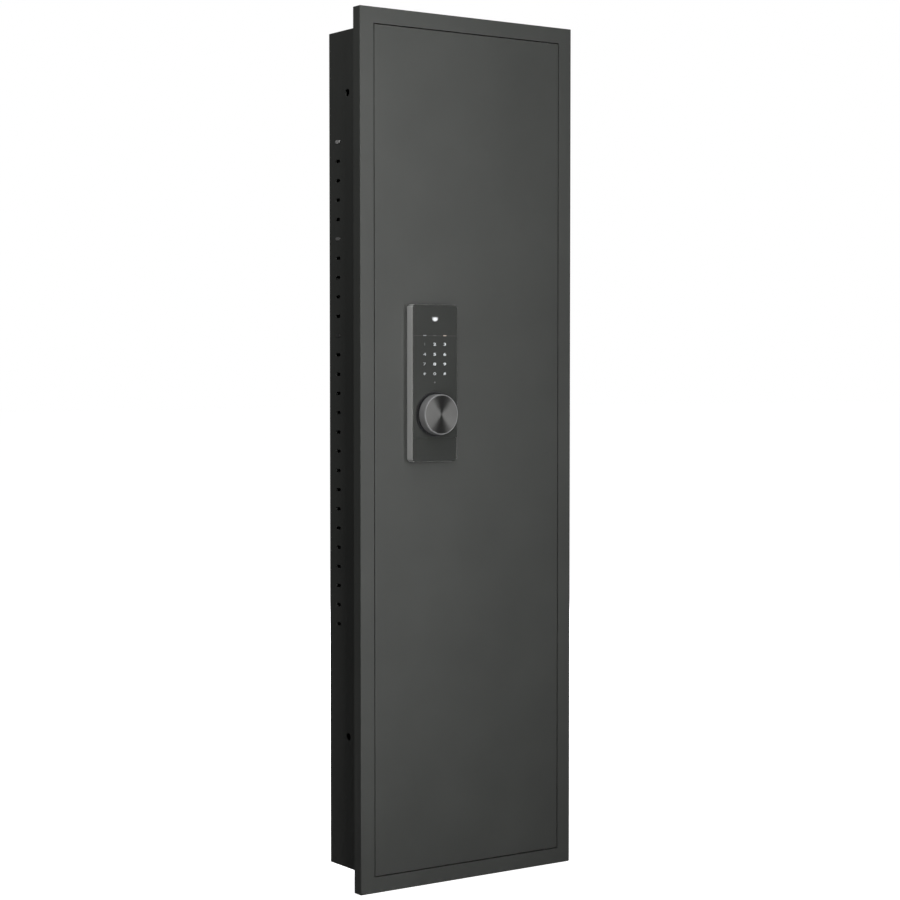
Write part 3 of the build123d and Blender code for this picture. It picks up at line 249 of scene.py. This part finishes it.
def bracket_zinc_painted_highlight(name):
    """Zinc plate with a painted highlight on the top bracket and painted shade on the ones below it."""
    g = Graph(name, (0.5, 0.5, 0.5), 0.42, 0.25)
    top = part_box("shelf_brackets")[1].z
    # painted highlight: the colour runs from a painted-shade dark grey at the lower brackets to light zinc
    # at the top one
    painted_highlight = g.remap(g.axes()[2], 0.0, 1.0, top - 210.0 * MM, top - 10.0 * MM)
    clouds = g.remap(g.noise(160.0, detail=5.0, roughness=0.6), 0.86, 1.08)
    g.shade_color(g.blend_colors(painted_highlight, (0.08, 0.08, 0.08), (0.5, 0.5, 0.49)), clouds)
    g.vary_roughness(g.noise(160.0, detail=5.0), 0.36, 0.5)
    return g.material


def sheet_steel(name, color):
    """Cold-rolled sheet: rolling lines up and down, and faint stains of oil."""
    g = Graph(name, color, 0.42, 0.5)
    lines = g.noise(45.0, detail=4.0, stretch=(30.0, 30.0, 1.0), roughness=0.6)
    stains = g.noise(22.0, detail=3.0)
    g.vary_color(stains, scaled(color, 0.8), scaled(color, 1.05))
    g.vary_roughness(lines, 0.34, 0.5)
    g.bump(lines, 0.00001, 0.3)
    return g.material


def moulded(name, color, roughness=0.5, grain=1400.0, depth=0.00003):
    """Moulded plastic with a spark-eroded grain."""
    g = Graph(name, color, roughness)
    texture = g.noise(grain, detail=2.0)
    g.vary_color(g.noise(30.0), scaled(color, 0.92), scaled(color, 1.08))
    g.vary_roughness(texture, roughness - 0.06, roughness + 0.1)
    g.bump(texture, depth, 0.5)
    return g.material


def smoked_glass(name, color):
    """A gloss dark panel: a clear coat over a dark back, with a trace of dust."""
    g = Graph(name, color, 0.27, Specular_IOR_Level=0.3, Coat_Weight=0.2, Coat_Roughness=0.1)
    dust = g.noise(520.0, detail=4.0, roughness=0.7)
    g.vary_color(dust, scaled(color, 0.96), scaled(color, 1.12), 0.55, 0.8)
    g.vary_roughness(g.noise(14.0, detail=0.0), 0.21, 0.27)
    g.bump(dust, 0.000002, 0.2)
    return g.material


def rubber(name):
    g = Graph(name, (0.018, 0.018, 0.018), 0.75)
    skin = g.noise(900.0, detail=3.0)
    g.vary_color(skin, (0.014, 0.014, 0.014), (0.026, 0.026, 0.027))
    g.vary_roughness(skin, 0.66, 0.88)
    g.bump(skin, 0.00004, 0.5)
    return g.material


def lit(name, color, strength, body=SMOKE):
    """A lens or a printed figure with a lamp behind it."""
    g = Graph(name, body, 0.35, Emission_Color=(*color, 1.0), Emission_Strength=strength)
    g.frost(body)
    return g.material


def lamp_lens(name, color):
    """A frosted lens, brightest where the lamp stands behind it."""
    g = Graph(name, SMOKE, 0.35, Emission_Strength=1.0)
    low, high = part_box("status_lamp")
    middle = (low + high) / 2
    reach = (high - low) / 2
    x, _, z = g.axes()
    across = g.math("DIVIDE", g.math("SUBTRACT", x, middle.x), reach.x)
    up = g.math("DIVIDE", g.math("SUBTRACT", z, middle.z), reach.z)
    off = g.math("ADD", g.math("MULTIPLY", across, across), g.math("MULTIPLY", up, up))
    glow = g.remap(off, 1.0, 0.0, 0.0, 1.1)
    g.link(g.blend_colors(glow, scaled(color, 0.15), scaled(color, 1.1)), g.shader.inputs["Emission Color"])
    g.frost(SMOKE)
    return g.material


def circuit_board(name):
    """Green solder mask with straight copper tracks under it."""
    g = Graph(name, (0.015, 0.12, 0.05), 0.35)
    tracks = g.node("ShaderNodeTexBrick", offset=0.35)
    tracks.inputs["Scale"].default_value = 210.0
    tracks.inputs["Mortar Size"].default_value = 0.018
    tracks.inputs["Color1"].default_value = (0.012, 0.11, 0.045, 1.0)
    tracks.inputs["Color2"].default_value = (0.016, 0.135, 0.055, 1.0)
    tracks.inputs["Mortar"].default_value = (0.07, 0.24, 0.07, 1.0)
    turn = g.node("ShaderNodeMapping")
    turn.inputs["Rotation"].default_value = (math.pi / 2, 0.0, 0.0)
    g.link(g.place(), turn.inputs["Vector"])
    g.link(turn.outputs["Vector"], tracks.inputs["Vector"])
    g.link(tracks.outputs["Color"], g.shader.inputs["Base Color"])
    g.vary_roughness(g.noise(300.0), 0.28, 0.42)
    g.bump(tracks.outputs["Fac"], 0.00003, 0.4)
    return g.material


def winding(name):
    """Copper wire wound on a bobbin, under clear tape."""
    g = Graph(name, (0.5, 0.17, 0.05), 0.3, 0.6, Coat_Weight=0.5, Coat_Roughness=0.1)
    turns = g.node("ShaderNodeTexWave", wave_type="BANDS", bands_direction="Z")
    turns.inputs["Scale"].default_value = 500.0
    g.link(g.place(), turns.inputs["Vector"])
    g.vary_color(turns.outputs["Fac"], (0.25, 0.07, 0.02), (0.62, 0.24, 0.08), 0.0, 1.0)
    g.bump(turns.outputs["Fac"], 0.0001, 0.6)
    return g.material


def battery_sleeve(name):
    """A printed sleeve: dark, with a copper-coloured band round the top third, and no words."""
    g = Graph(name, (0.03, 0.03, 0.034), 0.3, 0.35)
    low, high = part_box("batteries")
    edge = low.z + 0.66 * (high.z - low.z)
    band = g.remap(g.axes()[2], 0.0, 1.0, edge - 0.1 * MM, edge + 0.1 * MM)
    colors = g.blend_colors(band, (0.028, 0.028, 0.032), (0.42, 0.17, 0.06))
    g.link(colors, g.shader.inputs["Base Color"])
    g.vary_roughness(g.noise(260.0), 0.22, 0.36)
    return g.material


# by material slot
FINISHES = {
    "box_paint": powder_coat("box_paint", GREY, 0.55),
    "trim_paint": powder_coat("trim_paint", scaled(GREY, 1.03)),
    "door_paint": powder_coat("door_paint", GREY),
    "shelf_paint": powder_coat("shelf_paint", scaled(GREY, 0.9), 0.52),
    "zinc": zinc_plate("zinc", (0.5, 0.507, 0.515)),
    "steel": brushed("steel", (0.46, 0.465, 0.47), 0.38, (1.0, 30.0, 30.0), metallic=0.6),
    "sheet_steel": sheet_steel("sheet_steel", (0.5, 0.51, 0.52)),
    "bronze": brushed("bronze", (0.56, 0.36, 0.17), 0.42, (30.0, 1.0, 30.0)),
    "brass": brushed("brass", (0.76, 0.58, 0.28), 0.25, (30.0, 1.0, 30.0)),
    "rubber": rubber("rubber"),
    "housing_metal": edged_housing("housing_metal", (0.585, 0.59, 0.58), SMOKE),
    "touch_glass": smoked_glass("touch_glass", SMOKE),
    "lamp_lens": lamp_lens("lamp_lens", (0.95, 0.97, 1.0)),
    "light_line": lit("light_line", (1.0, 0.8, 0.7), 0.001, body=(0.021, 0.019, 0.018)),
    "knob_metal": brushed("knob_metal", (0.39, 0.39, 0.394), 0.4, (1.0, 30.0, 1.0), metallic=0.4),
    "knob_face_metal": turned("knob_face_metal", (0.185, 0.185, 0.181), 0.42, 0.94, KNOB_MIDDLE),
    "circuit_board": circuit_board("circuit_board"),
    "black_plastic": moulded("black_plastic", (0.022, 0.022, 0.023)),
    "coil_tape": winding("coil_tape"),
    "battery_sleeve": battery_sleeve("battery_sleeve"),
    "ribbon": moulded("ribbon", (0.4, 0.4, 0.41), 0.5, 600.0),
}
# and by node, where a piece differs from the rest of its slot
# the shelf brackets get a painted highlight on the top one and painted shade below it
NODE_FINISHES = {"shelf_brackets": bracket_zinc_painted_highlight("bracket_zinc_painted_highlight")}


def dress_nodes():
    """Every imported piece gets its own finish, or else the finish of its slot."""
    for part in frame["record"]["subparts"]:
        node = NODES[part["node"]]
        node.data.materials.clear()
        finish = NODE_FINISHES.get(part["node"], FINISHES[part["material_slot"]])
        node.data.materials.append(finish)


# ------------------------------------------------------------------ the lit keypad
KEY_COLUMNS = (-16.3 * MM, -0.5 * MM, 15.4 * MM)  # from the lock's middle
KEY_ROWS = (51.5 * MM, 64.7 * MM, 77.4 * MM, 90.0 * MM)  # below the lock's top
KEY_TEXT = ("123", "456", "789", "*0#")
KEY_SIZE = 4.9 * MM
STAR_SIZE = 7.35 * MM
KEY_STRETCH = 1.85  # the digits are drawn wide
SIGN_STRETCH = 1.2
PRINT_DEPTH = 0.06 * MM
WHITE = (0.93, 0.96, 1.0)
AMBER = (1.0, 0.82, 0.7)
KEY_GLOW = 0.8
DIM_KEYS = {"1": 0.035, "4": 0.4, "7": 0.3, "*": 0.5, "0": 0.45}  # glow, where it isn't KEY_GLOW

MARK_ROW = 101.3 * MM  # the ring under the keypad
MARK_COLUMN = -0.4 * MM
MARK_SIZE = 3.6 * MM
MARK_GLOW = 0.16

DASH_ROW = 40.3 * MM  # the three dashes over the keypad
DASH_SIZE = 7.6 * MM
DASH_STRETCH = 2.2
# name, column, colour, glow
DASHES = (
    ("led_left", KEY_COLUMNS[0] + 0.2 * MM, WHITE, 0.3),
    ("led_middle", KEY_COLUMNS[1], WHITE, 0.03),
    ("led_right", KEY_COLUMNS[2], AMBER, 0.55),
)


def glyph(text, size, column, row, stretch=1.0):
    """A letterform as a mesh on the glass that faces the room, with its middle at column, row."""
    curve = bpy.data.curves.new("glyph", "FONT")
    curve.body = text
    curve.size = size
    curve.extrude = PRINT_DEPTH / 2
    curve.offset = 0.02 * size
    holder = bpy.data.objects.new("glyph", curve)
    bpy.context.scene.collection.objects.link(holder)
    bpy.context.view_layer.update()
    mesh = bpy.data.meshes.new_from_object(holder.evaluated_get(bpy.context.evaluated_depsgraph_get()))
    bpy.data.objects.remove(holder)
    corners = [v.co for v in mesh.vertices]
    middle = (
        (min(c.x for c in corners) + max(c.x for c in corners)) / 2,
        (min(c.y for c in corners) + max(c.y for c in corners)) / 2,
    )
    face_room = Matrix.Rotation(math.pi / 2, 4, "X") @ Matrix.Diagonal((stretch, 1.0, 1.0, 1.0))
    place = Matrix.Translation((LOCK_MIDDLE_X + column, GLASS_Y - PRINT_DEPTH / 2, LOCK_TOP - row))
    mesh.transform(place @ face_room @ Matrix.Translation((-middle[0], -middle[1], 0)))
    return mesh


def lit_print(name, meshes, color, strength):
    """One piece of print on the door's glass, from several meshes, with a lamp behind it."""
    form = bmesh.new()
    for mesh in meshes:
        form.from_mesh(mesh)
    bmesh.ops.remove_doubles(form, verts=form.verts, dist=1e-7)
    bmesh.ops.recalc_face_normals(form, faces=form.faces)
    whole = bpy.data.meshes.new(name)
    form.to_mesh(whole)
    form.free()
    for mesh in meshes:
        bpy.data.meshes.remove(mesh)
    piece = bpy.data.objects.new(name, whole)
    bpy.context.scene.collection.objects.link(piece)
    piece.data.materials.append(lit(name + "_light", color, strength))
    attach(piece, "door")


def keypad_figures():
    """Figures that shine alike are one piece."""
    glows = {}
    for row, text in zip(KEY_ROWS, KEY_TEXT):
        for column, figure in zip(KEY_COLUMNS, text):
            size = STAR_SIZE if figure == "*" else KEY_SIZE
            stretch = SIGN_STRETCH if figure in "*#" else KEY_STRETCH
            mesh = glyph(figure, size, column, row, stretch)
            glows.setdefault(DIM_KEYS.get(figure, KEY_GLOW), []).append(mesh)
    for number, (glow, meshes) in enumerate(sorted(glows.items())):
        lit_print(f"keypad_figures_{number}", meshes, WHITE, glow)
    lit_print("keypad_mark", [glyph("o", MARK_SIZE, MARK_COLUMN, MARK_ROW)], WHITE, MARK_GLOW)
    for name, column, color, glow in DASHES:
        lit_print(name, [glyph("-", DASH_SIZE, column, DASH_ROW, DASH_STRETCH)], color, glow)


dress_nodes()
keypad_figures()


# ------------------------------------------------------------------ floor, lights and camera
SKY_STRENGTH = 0.004
FLOOR_REACH = 30.0
STRIP = (0.12, 0.4)
# name, place, target, size in metres, power in watts
SOFTBOXES = (
    ("front", (0.6, -2.2, 0.09), (0.0, 0.0, 0.05), (0.5, 1.75), 20.3),
    ("strip_middle", (-0.34, -0.6, -0.05), (-0.2, 0.0, -0.05), (0.12, 1.0), 3.4),
    ("strip_upper", (-0.16, -0.45, 0.55), (-0.06, 0.0, 0.55), STRIP, 0.6),
    ("strip_top", (-0.5, -0.45, 1.0), (-0.4, 0.0, 0.5), STRIP, 4.07),
    ("left", (-2.0, 0.6, 0.0), (-0.15, 0.05, 0.0), (1.0, 1.0), 2.74),
    ("left_top", (-1.2, 0.3, 1.0), (-0.15, 0.05, 0.4), (0.5, 0.5), 0.5),
    ("back", (1.6, 2.6, 0.8), (0.0, 0.08, 0.0), (1.6, 1.6), 60.0),
    ("back_low", (-0.1, 2.6, -1.2), (0.0, 0.08, -0.1), (1.4, 0.8), 25.0),
    ("right", (2.6, 0.3, 0.4), (0.15, 0.05, 0.0), (1.0, 1.6), 16.0),
    ("above", (0.6, 0.6, 2.6), (0.0, 0.04, 0.56), (1.0, 1.0), 20.0),
)


def studio():
    """A white backdrop for the camera only: what lights the part is the lamps and a trace of sky."""
    scene = bpy.context.scene
    scene.view_settings.view_transform = "Standard"
    world = bpy.data.worlds.new("studio")
    scene.world = world
    world.use_nodes = True
    tree = world.node_tree
    sky = tree.nodes["Background"]
    sky.inputs["Color"].default_value = (1.0, 1.0, 1.0, 1.0)
    sky.inputs["Strength"].default_value = SKY_STRENGTH
    backdrop = tree.nodes.new("ShaderNodeBackground")
    backdrop.inputs["Color"].default_value = (1.0, 1.0, 1.0, 1.0)
    ray = tree.nodes.new("ShaderNodeLightPath")
    choose = tree.nodes.new("ShaderNodeMixShader")
    tree.links.new(ray.outputs["Is Camera Ray"], choose.inputs["Fac"])
    tree.links.new(sky.outputs["Background"], choose.inputs[1])
    tree.links.new(backdrop.outputs["Background"], choose.inputs[2])
    tree.links.new(choose.outputs["Shader"], tree.nodes["World Output"].inputs["Surface"])


def floor():
    """A plain pale floor just under the part, which the camera sees and the light does not."""
    mesh = bpy.data.meshes.new("floor")
    form = bmesh.new()
    bmesh.ops.create_grid(form, x_segments=1, y_segments=1, size=FLOOR_REACH)
    form.to_mesh(mesh)
    form.free()
    piece = bpy.data.objects.new("floor", mesh)
    piece.location.z = LOWEST_Z - 1.0 * MM
    bpy.context.scene.collection.objects.link(piece)
    g = Graph("floor", (0.9, 0.9, 0.9), 0.9, Emission_Color=(1.0, 1.0, 1.0, 1.0), Emission_Strength=1.0)
    piece.data.materials.append(g.material)
    piece.visible_diffuse = False
    piece.visible_glossy = False


def softbox(name, place, target, size, power):
    """A lamp that the camera doesn't see. The strips don't show in the metal and the glass either."""
    light = bpy.data.lights.new(name, "AREA")
    light.shape = "RECTANGLE"
    light.size, light.size_y = size
    light.energy = power
    holder = bpy.data.objects.new(name, light)
    holder.location = place
    aim = Vector(target) - Vector(place)
    holder.rotation_mode = "QUATERNION"
    holder.rotation_quaternion = aim.to_track_quat("-Z", "Y")
    holder.visible_camera = False
    holder.visible_glossy = not name.startswith("strip")
    bpy.context.scene.collection.objects.link(holder)


CAMERA_PLACE = Vector((-1.615, -2.300, 0.107))
CAMERA_YAW = math.radians(34.75)
CAMERA_PITCH = math.radians(-2.165)
CAMERA_LENS = 84.32  # on a 36 mm wide sensor


def camera():
    data = bpy.data.cameras.new("camera")
    data.lens = CAMERA_LENS
    data.sensor_width = 36.0
    holder = bpy.data.objects.new("camera", data)
    ahead = Vector(
        (
            math.sin(CAMERA_YAW) * math.cos(CAMERA_PITCH),
            math.cos(CAMERA_YAW) * math.cos(CAMERA_PITCH),
            math.sin(CAMERA_PITCH),
        )
    )
    holder.location = CAMERA_PLACE
    holder.rotation_mode = "QUATERNION"
    holder.rotation_quaternion = ahead.to_track_quat("-Z", "Y")
    bpy.context.scene.collection.objects.link(holder)
    bpy.context.scene.camera = holder


studio()
floor()
for box in SOFTBOXES:
    softbox(*box)
camera()
